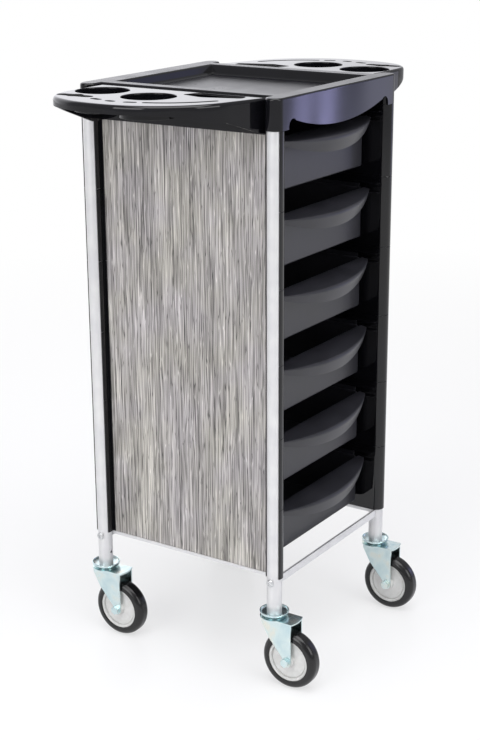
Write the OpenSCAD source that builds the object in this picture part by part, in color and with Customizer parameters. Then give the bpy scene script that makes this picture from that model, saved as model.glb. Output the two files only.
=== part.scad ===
// Salon trolley: four tube posts, two sides of stacked sleeve modules, six drawers,
// a moulded top tray with two plug-in wings, and four swivel casters.
// Millimetres, +Z up, drawers face -Y. The origin is on the floor, under the middle
// of the whole cart.

/* [Posts] */
// Outer diameter of a post tube
post_d = 25; // [22:0.5:30]
// Wall of a post tube
post_wall = 1.5; // [1.2:0.1:2.5]
// Distance between post centres across the front
post_gap_x = 346; // [320:1:400]
// Distance between post centres from front to back
post_gap_y = 351; // [340:1:380]
// How far a post stands inside its tray column
post_grip = 40; // [25:1:44]
// Diameter of the service hole low in a post
service_hole_d = 5; // [3:0.5:8]
// Height of the service hole above the post's lower end
service_hole_rise = 24; // [14:1:30]

/* [Bottom bars] */
// Height of the front and rear bars
bar_h = 13; // [11:0.5:18]
// Depth of the front and rear bars
bar_depth = 12; // [10:0.5:18]
// Width of a bar's upper lip
bar_lip = 4; // [3:0.5:8]
// Sheet thickness of the bars
bar_wall = 1.5; // [1:0.1:2.5]
// Thickness of a bar's folded end
bar_end = 3; // [2:0.5:5]
// Height of the side rail below the modules
rail_h = 5.5; // [5:0.5:12]
// Thickness of the side rail's floor under the panel
rail_floor = 2; // [1.5:0.25:3]
// Diameter of the screws that hold the bars
screw_d = 6; // [4:0.5:8]
// Diameter of a screw head
screw_head_d = 13; // [9:0.5:14]
// Height of a screw head
screw_head_h = 3.5; // [2:0.5:5]

/* [Side modules] */
// Height of the lowest module's lower edge above the posts' lower ends
stack_rise = 63; // [60:1:100]
// Height of one module, which carries one drawer
module_h = 121.5; // [112:0.5:140]
// Wall of the sleeve around a post
sleeve_wall = 1.8; // [1.4:0.1:2.5]
// Half of the angle that the sleeve leaves open on the outside
sleeve_open = 62; // [40:1:70]
// Thickness of the plate between the sleeves
plate_t = 3; // [2:0.25:4]
// Distance from a post's centre to the visible edge of the side panel
panel_inset = 18.5; // [16:0.5:24]
// Thickness of the side panel
panel_t = 3.2; // [2.5:0.1:5]
// How far the panel's edges stand in the modules
panel_grip = 3; // [2:0.25:5]
// Thickness of the lip that holds the panel's edge
panel_lip = 1.6; // [1:0.1:2.5]
// How far the drawer ledges stand out from the plate
ledge_w = 6.6; // [5:0.1:9]
// Thickness of a drawer ledge
ledge_t = 2.5; // [2:0.1:3.5]
// Height of the lower ledge's top above the module's lower edge
ledge_rise = 95.5; // [85:0.5:99]
// Clear height between the two ledges
ledge_gap = 13; // [11:0.5:14]

/* [Drawers] */
// Height of the drawer's underside above its module's lower edge
drawer_rise = 18; // [10:0.5:30]
// Wall of a drawer
drawer_wall = 2.5; // [2:0.1:3.5]
// Radius of a drawer's upright corners
drawer_corner = 12; // [6:0.5:20]
// How far the drawer's front wall lies behind the front posts' centres
drawer_setback = 25.5; // [20:0.5:40]
// How far the drawer's back wall lies before the rear posts' centres
drawer_back = 17.5; // [15:0.5:40]
// Gap between a drawer's side wall and the ledges
drawer_side_gap = 2; // [1:0.25:4]
// Gap between a drawer's runner and the side plate
runner_gap = 1; // [0.6:0.1:2]
// How far the pull stands out in front of the drawer at its middle
pull_reach = 50; // [35:1:70]
// How far the pull stands out in front of the drawer at its ends
pull_end_reach = 11; // [8:0.5:20]
// Height of the pull's face at its middle
pull_h = 32; // [20:1:45]
// Height of the pull's face at its ends
pull_end_h = 4; // [3:0.5:10]
// How far the pull's face leans back towards its lower edge
pull_lean = 9; // [0:0.5:15]
// How far the pull's top drops from the drawer to its edge
pull_slope = 7; // [0:0.5:10]
// Height of the pull's top above the lower ledge
pull_rise = 6.5; // [4:0.5:10]

/* [Top tray] */
// Height of the tray above the modules
tray_h = 49; // [47:1:80]
// Wall of the tray
tray_wall = 3; // [2:0.25:4]
// Distance from a post's centre line to the tray's side wall
tray_inset = 13; // [12:0.5:20]
// Width of the rim along the sides
rim_side = 24; // [15:1:40]
// Width of the rim along the front
rim_front = 31; // [30:1:60]
// Width of the rim along the back
rim_rear = 39; // [30:1:60]
// Depth of the recess
recess_depth = 17; // [14:1:30]
// How far the recess narrows towards its floor
recess_slope = 6; // [2:0.5:12]
// Height of the apron at its middle
apron_h = 57; // [45:1:66]
// How much lower the apron hangs at its middle than beside its notches
apron_sag = 22.5; // [5:0.5:24]
// Width of the notch at each end of the apron
notch_w = 23; // [12:1:32]
// Height of the notch above the modules
notch_h = 15.5; // [13:0.5:24]
// Width of the tab at each end of the apron, from the post's centre
tab_w = 17; // [16:0.5:30]

/* [Wings] */
// How far the wing's top lies below the tray's rim
wing_drop = 2.5; // [2:0.5:6]
// How far a wing reaches out from the posts' centre line
wing_reach = 177; // [165:1:210]
// Gap between the wing's wide end and the sleeve of the post beside it
wing_end_gap = 7; // [1:0.5:20]
// Wall of a wing
wing_wall = 3; // [2:0.25:4]
// Height of the skirt along the outside
skirt_h = 14; // [8:0.5:20]
// Height of the skirt at its knee near the narrow end
skirt_knee_h = 28; // [22:1:40]
// Distance from the narrow end to the knee
skirt_knee = 26; // [20:1:40]
// Height of the skirt at the narrow end
skirt_end_h = 52; // [44:1:54]
// Length of the deepest part of the skirt at the narrow end
skirt_flat = 6; // [4:0.5:12]
// How far the deep part of the wide end's wall reaches out past the posts' centre line
hook_reach = 23; // [10:1:30]
// Length over which the wide end's wall slopes up from its deep part
hook_run = 111; // [80:1:120]
// How far the inner flange covers the top of the side panel
flange_cover = 9; // [5:1:25]
// Radius of the two bottle holes
bottle_hole_r = 42.5; // [30:0.5:43]
// Depth of the collar round a bottle hole
collar_h = 30; // [10:1:34]
// Wall of the collar
collar_wall = 3.2; // [2.4:0.4:3.6]
// Width of the comb slot
comb_slot_w = 9; // [5:0.5:10]
// Width of the tool slot
tool_slot_w = 16; // [10:0.5:18]
// Diameter of the round end in the tool slot
tool_hole_d = 24; // [18:0.5:26]
// Width of a small slot
small_slot_w = 9; // [5:0.5:10]
// Thickness of the tongues that plug into the tray
tongue_t = 6; // [4:0.5:7]
// Width of a tongue
tongue_w = 22; // [15:1:30]
// Distance between the two tongues of a wing
tongue_gap = 180; // [120:1:220]
// Gap between a tongue and the wing's plate above it
tongue_drop = 1; // [0.5:0.1:2]

/* [Casters] */
// Outer diameter of the tyre
wheel_d = 100; // [80:1:110]
// Width of the tyre
wheel_w = 27; // [22:0.5:32]
// Radial thickness of the tyre
tyre_t = 13; // [7:0.5:16]
// Radius of the tyre's rounded shoulders
tyre_round = 10; // [4:0.5:11]
// Horizontal distance from the swivel axis to the axle
caster_trail = 33.5; // [25:0.5:42]
// Height of the fork's top above the floor
fork_h = 120; // [118:1:140]
// Sheet thickness of the fork
fork_wall = 2.5; // [2:0.1:3.5]
// Gap between the tyre and a fork cheek
fork_gap = 2.5; // [1.5:0.1:5]
// Radius of the fork's crown around the swivel axis
crown_r = 24; // [22:0.5:30]
// How far the crown's front corners stand before the cheeks
crown_lip = 1; // [0.5:0.1:2]
// Radius of the rounded lower end of a cheek
cheek_r = 9; // [8:0.5:12]
// How far a cheek reaches behind the swivel axis
cheek_back = 14.5; // [10:0.5:18]
// Height of a cheek's upright rear edge
cheek_edge = 8; // [5:0.5:12]
// Height over which a cheek's rear edge slants to the swivel axis
cheek_slant = 26; // [18:0.5:32]
// Gap between the fork and the dish above it
swivel_gap = 2.5; // [1:0.1:4]
// Height of the dish under a post
dish_h = 7; // [6:0.5:10]
// Radius of the dish
dish_r = 24.5; // [22:0.5:30]
// Sheet thickness of the dish
dish_t = 2.5; // [2:0.1:3]
// Length of the stem inside the post
stem_l = 42; // [30:1:45]
// Diameter of the swivel pin
king_d = 10; // [8:0.5:12]
// Diameter of the swivel pin's head under the fork
king_head_d = 20; // [16:0.5:24]
// Diameter of the bearing race under the dish
race_d = 34; // [26:1:40]
// Diameter of the axle bolt
axle_d = 8; // [6:0.5:10]
// Width across the flats of the axle's head and nut
nut_flats = 13; // [11:0.5:17]
// Height of the axle's head and nut
nut_h = 6; // [4:0.5:8]
// How far the hub's faces lie inside the tyre's sides
hub_inset = 2; // [1:0.25:4]
// Width of the raised ring around the hub
hub_ring = 4; // [2:0.5:8]
// Depth of the hub's face inside the ring
hub_dip = 3; // [1:0.25:5]
// Diameter of the boss around the axle
boss_d = 22; // [16:0.5:28]

/* [Clearances] */
// Radial gap between a post and what slides over or into it
post_fit = 0.1; // [0.05:0.05:0.3]
// Gap between stacked or neighbouring mouldings
seam = 0.3; // [0.1:0.05:0.5]
// Gap between a drawer's runner and the ledge that it rides on
slide_fit = 0.3; // [0.1:0.05:0.6]
// Play of the fork between the swivel pin's head and the bearing race
king_play = 0.3; // [0.2:0.05:0.5]
// Gap between the hub's boss and a fork cheek
boss_play = 0.3; // [0.2:0.05:0.8]
// Radial gap of a pin in its turning hole
pin_fit = 0.06; // [0.02:0.01:0.1]
// Radial gap of a screw in its hole
screw_fit = 0.2; // [0.1:0.05:0.5]

/* [Hidden] */

$fn = 64;
drawer_count = 6;
// Each caster's name, with the signs of its post's place
CORNERS = [
    ["front_left", -1, -1], ["front_right", 1, -1],
    ["rear_left", -1, 1], ["rear_right", 1, 1]
];
// Overshoot of a cut past the face it opens
over = 1;
// How far straight sides are drawn in so that they cross the round ends they run into
round_ease = 0.1;

silver = [0.84, 0.84, 0.85];
black = [0.13, 0.13, 0.15];
charcoal = [0.2, 0.2, 0.22];
bark_grey = [0.6, 0.59, 0.57];
zinc = [0.76, 0.8, 0.82];
hub_grey = [0.78, 0.78, 0.78];
tyre_black = [0.12, 0.12, 0.12];

post_x = post_gap_x / 2;
post_y = post_gap_y / 2;
post_r = post_d / 2;
bore_r = post_r - post_wall;
// The dish stands on the swivel gap, and the post stands in the dish
dish_z = fork_h + swivel_gap;
post_z = dish_z + dish_t;
stack_z = post_z + stack_rise;
stack_top = stack_z + drawer_count * module_h;
tray_z = stack_top + tray_h;
sleeve_r = post_r + post_fit + sleeve_wall;

// Across the cart: inner and outer face of the side plate, then the panel and its lip
plate_in = post_x - sleeve_r;
plate_out = plate_in + plate_t;
panel_x = plate_out + seam / 2;
panel_out = panel_x + panel_t;
lip_in = panel_out + seam / 2;
lip_out = lip_in + panel_lip;
panel_edge = post_y - panel_inset;
panel_half = panel_edge + panel_grip;
ledge_in = plate_in - ledge_w;

rail_groove = rail_h - rail_floor;
screw_z = stack_z - bar_h / 2;
screw_r = screw_d / 2;
bar_half = post_x - post_r;

// Drawer: half width of the body and of its runners, front and back faces
body_half = ledge_in - drawer_side_gap;
runner_half = plate_in - runner_gap;
front_y = -post_y + drawer_setback;
back_y = post_y - drawer_back;
runner_rise = ledge_rise + slide_fit;
runner_top = ledge_rise + ledge_gap - slide_fit;
pull_top = ledge_rise + pull_rise;
// The pull's tips clear the ledges; its edge is an arc seen from above, and its lower edge
// an arc seen from the front
pull_half = ledge_in - slide_fit;
pull_bow = pull_reach - pull_end_reach;
pull_r = (pull_half * pull_half + pull_bow * pull_bow) / (2 * pull_bow);
pull_y = front_y - pull_reach + pull_r;
smile = pull_h - pull_end_h;
smile_r = (pull_half * pull_half + smile * smile) / (2 * smile);

// Tray: half sizes of the rim, of the recess and of its floor
tray_half_x = post_x - tray_inset;
tray_half_y = post_y + sleeve_r;
recess_x = tray_half_x - rim_side;
recess_y = tray_half_y - (rim_front + rim_rear) / 2;
recess_shift = (rim_front - rim_rear) / 2;
recess_z = tray_z - recess_depth;
notch_x = post_x - tab_w - notch_w / 2;
apron_r = (notch_x * notch_x + apron_sag * apron_sag) / (2 * apron_sag);
tray_side_z = recess_z - 2 * tray_wall;

// Wing: it lies between the columns and outside the tray's side wall
wing_z = tray_z - wing_drop;
wing_in = tray_half_x + seam;
wing_out = post_x + wing_reach;
wing_half_y = post_y - sleeve_r - seam;
wing_wide_y = post_y - sleeve_r - wing_end_gap;
flange_in = panel_out + seam;
flange_out = flange_in + wing_wall;
flange_z = stack_top - flange_cover;
flange_half_y = min(panel_edge - seam, wing_wide_y);
tongue_z = wing_z - wing_wall - tongue_drop - tongue_t / 2;
// Outline of the wide end: a round corner, then a slow curve along the outside
corner_r = 80;
corner_inset = 10;
corner_x = wing_out - corner_inset - corner_r;
corner_y = wing_wide_y - corner_r;
side_r = 315;
side_x = wing_out - side_r;
side_y = 20;
taper_r = 154;
taper_x = wing_out - taper_r;
taper_y = 10;
// Holes of a wing: distance out from the posts' centre line, then from the wide end
bottle_holes = [[53, 48], [72, 151]];
side_hole = [[-1, 192], [27, 182], [39, 224], [21, 284], [1, 280]];
tool_slot = [[119, 22], [119, 72]];
tool_hole = [115, 46];
small_slots = [[[133, 94], [136, 106]], [[141, 128], [142, 136]], [[139, 160], [136, 171]]];
comb_slot = [[130, 188], [105, 232], [63, 266]];

wheel_r = wheel_d / 2;
rim_r = wheel_r - tyre_t;
hub_half = wheel_w / 2 - hub_inset;
cheek_in = wheel_w / 2 + fork_gap;
cheek_out = cheek_in + fork_wall;
boss_half = cheek_in - boss_play;
// The crown's front edge is an arc about the swivel axis that stands a little before the cheeks
crown_front = norm([cheek_out, caster_trail + cheek_r + crown_lip]);
king_z = fork_h - fork_wall - king_play;
// The cart stands so that its box is centred on the origin: wheels lead, dishes trail
front_reach = max(post_y + caster_trail + wheel_r, pull_reach - front_y);
rear_reach = post_y + max(dish_r, crown_r, sleeve_r, wheel_r - caster_trail);
cart_y = (front_reach - rear_reach) / 2;

function arc(cx, cy, r, from, to, steps) =
    [for (i = [0 : steps]) let (a = from + (to - from) * i / steps) [cx + r * cos(a), cy + r * sin(a)]];

// Moves the middle of the posts to its place over the origin
module cart() {
    translate([0, cart_y, 0]) children();
}

// The right side as drawn, or its mirror image
module on_side(side) {
    mirror([side == "left" ? 1 : 0, 0, 0]) children();
}

module at_post(sx, sy) {
    cart() translate([sx * post_x, sy * post_y, 0]) children();
}

module at_wheel(sx, sy) {
    at_post(sx, sy) translate([0, -caster_trail, wheel_r]) rotate([0, 90, 0]) children();
}

// Block given by its low and high corners
module block(low, high) {
    translate(low) cube(high - low);
}

module rounded_square(x0, x1, y0, y1, r) {
    translate([x0 + r, y0]) square([x1 - x0 - 2 * r, y1 - y0]);
    translate([x0, y0 + r]) square([x1 - x0, y1 - y0 - 2 * r]);
    for (x = [x0 + r, x1 - r], y = [y0 + r, y1 - r]) translate([x, y]) circle(r);
}

// Slot with round ends between two points; the sides are drawn in a little so that they cross the ends
module slot(a, b, w) {
    d = b - a;
    translate(a) circle(d = w);
    translate(b) circle(d = w);
    translate(a) rotate(atan2(d[1], d[0])) translate([0, round_ease - w / 2])
        square([norm(d), w - 2 * round_ease]);
}

// Block that narrows evenly from its top to its bottom
module basin(half_x, half_y, slope, low, high) {
    intersection() {
        rotate([90, 0, 0]) linear_extrude(2 * half_y, center = true)
            polygon([[-half_x, high], [half_x, high], [half_x - slope, low], [slope - half_x, low]]);
        rotate([90, 0, 90]) linear_extrude(2 * half_x, center = true)
            polygon([[-half_y, high], [half_y, high], [half_y - slope, low], [slope - half_y, low]]);
    }
}

// Cylinders in the place of the four posts
module post_cores(r, low, high) {
    for (sx = [-1, 1], sy = [-1, 1])
        translate([sx * post_x, sy * post_y, low]) cylinder(r = r, h = high - low);
}

module post(sx, sy) {
    color(silver) at_post(sx, sy) difference() {
        translate([0, 0, post_z]) cylinder(r = post_r, h = stack_top + post_grip - post_z);
        translate([0, 0, post_z - over])
            cylinder(r = bore_r, h = stack_top + post_grip - post_z + 2 * over);
        translate([0, 0, screw_z]) rotate([0, 90, 0])
            cylinder(r = screw_r + screw_fit, h = post_d + 2 * over, center = true);
        translate([0, -sy * post_r / 2, post_z + service_hole_rise]) rotate([90, 0, 0])
            cylinder(d = service_hole_d, h = post_r + over, center = true);
    }
}

// Pressed channel between two posts, open towards the middle, with a narrow upper lip and folded ends
module cross_bar(sy) {
    color(silver) cart() mirror([0, sy > 0 ? 1 : 0, 0]) difference() {
        block(
            [-post_x, -post_y - bar_depth / 2, stack_z - bar_h],
            [post_x, -post_y + bar_depth / 2, stack_z]
        );
        block(
            [bar_end - bar_half, -post_y - bar_depth / 2 + bar_wall, stack_z - bar_h + bar_wall],
            [bar_half - bar_end, -post_y + bar_depth / 2 + over, stack_z - bar_wall]
        );
        block(
            [bar_end - bar_half, -post_y - bar_depth / 2 + bar_lip, stack_z - 2 * bar_wall],
            [bar_half - bar_end, -post_y + bar_depth / 2 + over, stack_z + over]
        );
        post_cores(post_r + post_fit, stack_z - bar_h - over, stack_z + over);
        translate([0, -post_y, screw_z]) rotate([0, 90, 0])
            cylinder(r = screw_r + screw_fit, h = post_gap_x, center = true);
    }
}

// Channel between a front and a rear post that the modules and the side panel stand on
module side_rail(side) {
    color(silver) cart() on_side(side) difference() {
        block([plate_in, -post_y, stack_z - rail_h], [lip_out, post_y, stack_z]);
        block(
            [plate_out, -post_y - over, stack_z - rail_groove],
            [lip_in, post_y + over, stack_z + over]
        );
        post_cores(post_r + post_fit, stack_z - rail_h - over, stack_z + over);
        for (sy = [-1, 1])
            block(
                [plate_in - over, sy * post_y - bar_depth / 2 - seam, stack_z - rail_h - over],
                [post_x, sy * post_y + bar_depth / 2 + seam, stack_z + over]
            );
    }
}

// Pan-head screws through the posts into the ends of the bars
module bar_screws() {
    color(silver) for (sx = [-1, 1], sy = [-1, 1])
        at_post(sx, sy) translate([0, 0, screw_z]) rotate([0, sx * 90, 0]) {
            translate([0, 0, post_r]) cylinder(d = screw_head_d, h = screw_head_h);
            translate([0, 0, -post_r - bar_end]) cylinder(r = screw_r, h = post_d + bar_end);
        }
}

// One storey of a side: two open sleeves, the plate between them and two drawer ledges
module side_module(side, level) {
    low = stack_top - level * module_h;
    high = low + module_h - seam;
    color(black) cart() on_side(side) difference() {
        union() {
            post_cores_right(sleeve_r, low, high);
            block([plate_in, -post_y, low], [plate_out, post_y, high]);
            for (sy = [-1, 1]) {
                y = sort_pair(sy * panel_edge, sy * (post_y - sleeve_r / 2));
                block([plate_in, y[0], low], [lip_out, y[1], high]);
            }
            for (rise = [ledge_rise - ledge_t, ledge_rise + ledge_gap])
                block(
                    [ledge_in, -post_y, low + rise],
                    [plate_in, back_y + seam + ledge_t, low + rise + ledge_t]
                );
            block(
                [ledge_in, back_y + seam, low + ledge_rise],
                [plate_in, back_y + seam + ledge_t, low + ledge_rise + ledge_gap]
            );
        }
        post_cores(post_r + post_fit, low - over, high + over);
        block([plate_out, -panel_half - seam, low - over], [lip_in, panel_half + seam, high + over]);
        for (sy = [-1, 1])
            translate([post_x, sy * post_y, low - over]) linear_extrude(module_h + 2 * over)
                polygon([[0, 0], post_d * [1, tan(sleeve_open)], post_d * [1, -tan(sleeve_open)]]);
    }
}

function sort_pair(a, b) = [min(a, b), max(a, b)];

// Cylinders in the place of the right-hand posts
module post_cores_right(r, low, high) {
    for (sy = [-1, 1]) translate([post_x, sy * post_y, low]) cylinder(r = r, h = high - low);
}

// Laminate board held in the modules' grooves and standing in the side rail
module side_panel(side) {
    color(bark_grey) cart() on_side(side) block(
        [panel_x, -panel_half, stack_z - rail_groove],
        [panel_out, panel_half, stack_top - seam]
    );
}

module drawer_shell(low, wall, top) {
    translate([0, 0, low]) linear_extrude(top - low)
        rounded_square(
            wall - body_half, body_half - wall, front_y + wall, back_y - wall, drawer_corner - wall
        );
}

// Bow of the pull under its sloping top: a leaning round face, cut off at the drawer's front
module pull_bow_solid(skin, drop) {
    intersection() {
        translate([0, pull_y, pull_top - pull_h])
            cylinder(r1 = pull_r - pull_lean - skin, r2 = pull_r - skin, h = pull_h, $fn = 128);
        rotate([90, 0, 90]) linear_extrude(2 * (pull_half - skin), center = true) polygon([
            [front_y + drawer_wall / 2, pull_top - pull_h - over],
            [front_y + drawer_wall / 2, pull_top - drop], [front_y, pull_top - drop],
            [front_y - pull_reach, pull_top - drop - pull_slope],
            [front_y - pull_reach, pull_top - pull_h - over]
        ]);
    }
}

module drawer(level) {
    color(charcoal) cart() translate([0, 0, stack_top - level * module_h]) {
        difference() {
            union() {
                drawer_shell(drawer_rise, 0, pull_top);
                for (sx = [-1, 1]) {
                    edge = sort_pair(sx * (body_half - drawer_wall), sx * runner_half);
                    stand = sort_pair(sx * (runner_half - drawer_wall), sx * runner_half);
                    block(
                        [edge[0], front_y + drawer_corner, runner_rise],
                        [edge[1], back_y, runner_rise + drawer_wall]
                    );
                    block(
                        [stand[0], front_y + drawer_corner, runner_rise],
                        [stand[1], back_y, runner_top]
                    );
                }
            }
            drawer_shell(drawer_rise + drawer_wall, drawer_wall, pull_top + over);
        }
        difference() {
            intersection() {
                pull_bow_solid(0, 0);
                translate([0, front_y, pull_top - pull_h + smile_r]) rotate([90, 0, 0])
                    cylinder(r = smile_r, h = 2 * pull_reach + 2 * drawer_wall, center = true, $fn = 128);
            }
            pull_bow_solid(drawer_wall, drawer_wall);
        }
    }
}

// Front or back face of the tray: a smiling lower edge between two notches and end tabs
module apron() {
    difference() {
        translate([-post_x, stack_top - apron_h]) square([post_gap_x, tray_h + apron_h]);
        difference() {
            translate([-notch_x, stack_top - apron_h - over])
                square([2 * notch_x, apron_h + over + notch_h]);
            translate([0, tray_z - apron_h + apron_r]) circle(apron_r, $fn = 128);
        }
        for (sx = [-1, 1]) {
            translate([sx * notch_x, stack_top + notch_h - notch_w / 2]) circle(d = notch_w);
            translate([sx * notch_x - notch_w / 2, stack_top - apron_h - over])
                square([notch_w, apron_h + over + notch_h - notch_w / 2]);
            translate([sx * post_x - tab_w, stack_top - apron_h - over])
                square([2 * tab_w, apron_h + over]);
        }
    }
}

module top_tray() {
    color(black) cart() difference() {
        union() {
            post_cores(sleeve_r, stack_top, tray_z);
            for (sy = [-1, 1]) {
                y = sort_pair(sy * (post_y - sleeve_r), sy * tray_half_y);
                block([-post_x, y[0], tray_z - tray_wall], [post_x, y[1], tray_z]);
                translate([0, sy * (tray_half_y - tray_wall / 2), 0]) rotate([90, 0, 0])
                    linear_extrude(tray_wall, center = true) apron();
                inner = sort_pair(sy * (post_y - sleeve_r), sy * (post_y - sleeve_r + tray_wall));
                block([-post_x, inner[0], tray_side_z], [post_x, inner[1], tray_z]);
            }
            block([-tray_half_x, -post_y, tray_z - tray_wall], [tray_half_x, post_y, tray_z]);
            for (sx = [-1, 1]) {
                x = sort_pair(sx * (tray_half_x - tray_wall), sx * tray_half_x);
                block([x[0], sleeve_r - post_y, tray_side_z], [x[1], post_y - sleeve_r, tray_z]);
            }
            translate([0, recess_shift, 0]) basin(
                recess_x + tray_wall, recess_y + tray_wall, recess_slope, recess_z - tray_wall, tray_z
            );
        }
        translate([0, recess_shift, 0]) {
            basin(recess_x, recess_y, recess_slope, recess_z, tray_z);
            block([-recess_x, -recess_y, tray_z], [recess_x, recess_y, tray_z + over]);
        }
        post_cores(post_r + post_fit, stack_top - over, stack_top + post_grip + seam);
        for (sx = [-1, 1], sy = [-1, 1])
            translate([sx * tray_half_x, sy * tongue_gap / 2, tongue_z]) cube(
                [4 * tray_wall, tongue_w + 2 * seam, tongue_t + 2 * seam], center = true
            );
    }
}

// Outline of the right wing seen from above, drawn in by the given amount
module wing_outline(inset) {
    polygon(concat(
        [[wing_in + inset, inset - wing_wide_y]],
        arc(corner_x, -corner_y, corner_r - inset, -90, -14, 10),
        arc(side_x, -side_y, side_r - inset, -12, 11, 6),
        arc(taper_x, -taper_y, taper_r - inset, 22, 80, 9),
        [[wing_in + inset, wing_half_y - inset]]
    ));
}

// Round holes of the right wing for bottles, with the given radius
module bottle_circles(r) {
    translate([post_x, -wing_wide_y]) for (hole = bottle_holes) translate(hole) circle(r);
}

// Other holes of the right wing: a tray-side hole, and slots for tools and combs
module wing_slots() {
    translate([post_x, -wing_wide_y]) {
        polygon(side_hole);
        slot(tool_slot[0], tool_slot[1], tool_slot_w);
        translate(tool_hole) circle(d = tool_hole_d);
        for (ends = small_slots) slot(ends[0], ends[1], small_slot_w);
        for (i = [0, 1]) slot(comb_slot[i], comb_slot[i + 1], comb_slot_w);
    }
}

// Room that the wing's skirt may fill: shallow along the outside, deep at both ends
module skirt_room() {
    skirt_z = wing_z - skirt_h;
    end_z = wing_z - skirt_end_h;
    rotate([90, 0, 90]) linear_extrude(wing_out) polygon([
        [-wing_half_y, wing_z], [-wing_half_y, skirt_z], [wing_half_y / 2, skirt_z],
        [wing_half_y - skirt_knee, wing_z - skirt_knee_h], [wing_half_y - skirt_flat, end_z],
        [wing_half_y + over, end_z], [wing_half_y + over, wing_z]
    ]);
    rotate([90, 0, 0]) translate([0, 0, corner_y]) linear_extrude(wing_half_y - corner_y) polygon([
        [flange_in, wing_z], [flange_in, flange_z], [post_x + hook_reach, flange_z],
        [post_x + hook_reach + hook_run, skirt_z], [post_x + hook_reach + hook_run, wing_z]
    ]);
}

module wing_right_side() {
    difference() {
        union() {
            translate([0, 0, wing_z - wing_wall]) linear_extrude(wing_wall) wing_outline(0);
            intersection() {
                translate([0, 0, flange_z]) linear_extrude(wing_z - wing_wall / 2 - flange_z) difference() {
                    wing_outline(0);
                    wing_outline(wing_wall);
                }
                skirt_room();
            }
            block(
                [flange_in, -flange_half_y, flange_z],
                [flange_out, flange_half_y, wing_z - wing_wall / 2]
            );
            translate([0, 0, wing_z - collar_h]) linear_extrude(collar_h - wing_wall / 2)
                bottle_circles(bottle_hole_r + collar_wall);
            for (sy = [-1, 1])
                translate([0, sy * tongue_gap / 2, 0]) block(
                    [tray_half_x - 2 * tray_wall, -tongue_w / 2, tongue_z - tongue_t / 2],
                    [flange_in + wing_wall / 2, tongue_w / 2, tongue_z + tongue_t / 2]
                );
        }
        translate([0, 0, wing_z - wing_wall - over]) linear_extrude(wing_wall + 2 * over) wing_slots();
        translate([0, 0, wing_z - collar_h - over]) linear_extrude(collar_h + 2 * over)
            bottle_circles(bottle_hole_r);
        // Room for the panel, and at the narrow end for the lip that holds its edge
        block(
            [wing_in - over, -wing_half_y - over, flange_z - over],
            [flange_in, wing_half_y + over, stack_top + seam]
        );
        block(
            [wing_in - over, panel_edge - seam, flange_z - over],
            [lip_out + seam, wing_half_y + over, stack_top + seam]
        );
    }
}

module wing(side) {
    color(black) cart() rotate([0, 0, side == "left" ? 180 : 0]) wing_right_side();
}

// Plug in the post's lower end, the dish that the post stands in, the bearing race and the swivel pin
module caster_stem(sx, sy) {
    color(zinc) at_post(sx, sy) {
        rotate_extrude() polygon([
            [0, dish_z], [dish_r - dish_h / 2, dish_z],
            [dish_r, dish_z + dish_h / 2], [dish_r, dish_z + dish_h],
            [dish_r - dish_t, dish_z + dish_h], [dish_r - dish_t, dish_z + dish_h / 2 + dish_t / 2],
            [dish_r - dish_h / 2 - dish_t / 2, dish_z + dish_t], [bore_r - post_fit, dish_z + dish_t],
            [bore_r - post_fit, dish_z + dish_t + stem_l], [0, dish_z + dish_t + stem_l]
        ]);
        translate([0, 0, king_z]) cylinder(d = king_d, h = dish_z - king_z);
        translate([0, 0, king_z - dish_t]) cylinder(d = king_head_d, h = dish_t);
        translate([0, 0, fork_h + king_play]) cylinder(d = race_d, h = swivel_gap - king_play);
    }
}

// Pressed fork: a crown that turns under the dish and two tapering cheeks
module caster_fork(sx, sy) {
    color(zinc) at_post(sx, sy) difference() {
        union() {
            translate([0, 0, fork_h - fork_wall]) linear_extrude(fork_wall) {
                circle(crown_r);
                intersection() {
                    circle(crown_front);
                    translate([-cheek_out, -crown_front]) square([2 * cheek_out, crown_front]);
                }
            }
            for (side = [-1, 1])
                translate([side * (cheek_in + cheek_out) / 2, 0, 0]) rotate([90, 0, 90])
                    linear_extrude(fork_wall, center = true) cheek();
        }
        translate([0, 0, fork_h - fork_wall - over])
            cylinder(d = king_d + 2 * pin_fit, h = fork_wall + 2 * over);
        translate([0, -caster_trail, wheel_r]) rotate([0, 90, 0])
            cylinder(d = axle_d + 2 * pin_fit, h = 4 * cheek_out, center = true);
    }
}

// Outline of a cheek, seen from the side with the swivel axis at zero
module cheek() {
    turn = 40;
    front_r = cheek_r - round_ease;
    inner_r = cheek_r - over;
    translate([-caster_trail, wheel_r]) circle(cheek_r);
    polygon([
        [-caster_trail - front_r, wheel_r], [-caster_trail - front_r, fork_h],
        [cheek_back, fork_h], [cheek_back, fork_h - cheek_edge], [0, fork_h - cheek_edge - cheek_slant],
        [-caster_trail + inner_r * cos(turn), wheel_r + inner_r * sin(turn)]
    ]);
}

// Bolt through the wheel with a hexagon head on one side and a nut on the other
module caster_axle(sx, sy) {
    color(zinc) at_wheel(sx, sy) {
        cylinder(d = axle_d, h = 2 * (cheek_out + nut_h), center = true);
        for (side = [-1, 1])
            translate([0, 0, side * (cheek_out + nut_h / 2)])
                cylinder(d = nut_flats / cos(30), h = nut_h, center = true, $fn = 6);
    }
}

// Moulded wheel body: a disc with a raised ring, a boss at the axle and a seat for the tyre
module wheel_hub(sx, sy) {
    ring_r = rim_r - hub_ring;
    web_half = hub_half - hub_dip;
    boss_r = boss_d / 2;
    bore = axle_d / 2 + pin_fit;
    color(hub_grey) at_wheel(sx, sy) rotate_extrude() polygon([
        [bore, -boss_half], [boss_r, -boss_half], [boss_r, -web_half], [ring_r, -web_half],
        [ring_r, -hub_half], [rim_r, -hub_half], [rim_r, hub_half], [ring_r, hub_half],
        [ring_r, web_half], [boss_r, web_half], [boss_r, boss_half], [bore, boss_half]
    ]);
}

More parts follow.
